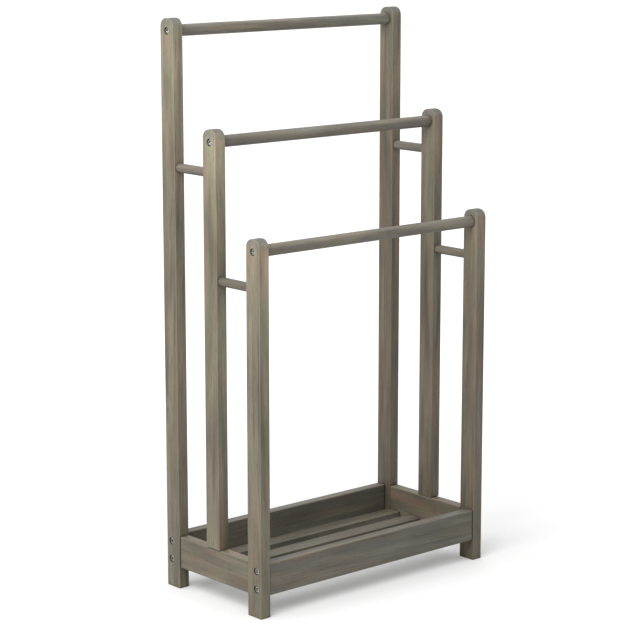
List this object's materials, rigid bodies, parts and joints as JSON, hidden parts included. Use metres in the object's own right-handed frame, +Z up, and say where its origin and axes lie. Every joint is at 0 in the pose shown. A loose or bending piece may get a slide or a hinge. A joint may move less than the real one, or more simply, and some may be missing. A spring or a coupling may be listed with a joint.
{
  "type": "free-standing towel rack",
  "caption": "Free-standing wooden towel rack: stepped posts carry round towel bars above a slatted tray with raised rails, bolted together through the posts.",
  "frame": {"origin": "on the floor, at the middle of the footprint of the four feet", "axes": "+Z up; +X to the right, along the towel bars; +Y to the back, from the low front bar to the tall back bar"},
  "size_m": [0.528, 0.259, 1],
  "materials": {
    "stained_wood": "satin grey-brown stain",
    "pin_wood": "bare",
    "zinc_steel": "zinc plated",
    "insert_steel": "zinc plated"
  },
  "bodies": {
    "root": {"left_back_post": "stained_wood", "left_middle_post": "stained_wood", "left_front_post": "stained_wood", "left_side_rail": "stained_wood", "left_upper_spacer": "stained_wood", "left_lower_spacer": "stained_wood", "right_back_post": "stained_wood", "right_middle_post": "stained_wood", "right_front_post": "stained_wood", "right_side_rail": "stained_wood", "right_upper_spacer": "stained_wood", "right_lower_spacer": "stained_wood", "back_towel_bar": "stained_wood", "middle_towel_bar": "stained_wood", "front_towel_bar": "stained_wood", "front_rail": "stained_wood", "back_rail": "stained_wood", "shelf_slat_1": "stained_wood", "shelf_slat_2": "stained_wood", "shelf_slat_3": "stained_wood", "shelf_slat_4": "stained_wood", "bar_bolts": "zinc_steel", "rail_bolts": "zinc_steel", "insert_nuts": "insert_steel", "frame_dowel_pins": "pin_wood", "slat_dowel_pins": "pin_wood"}
  },
  "joints": []
}
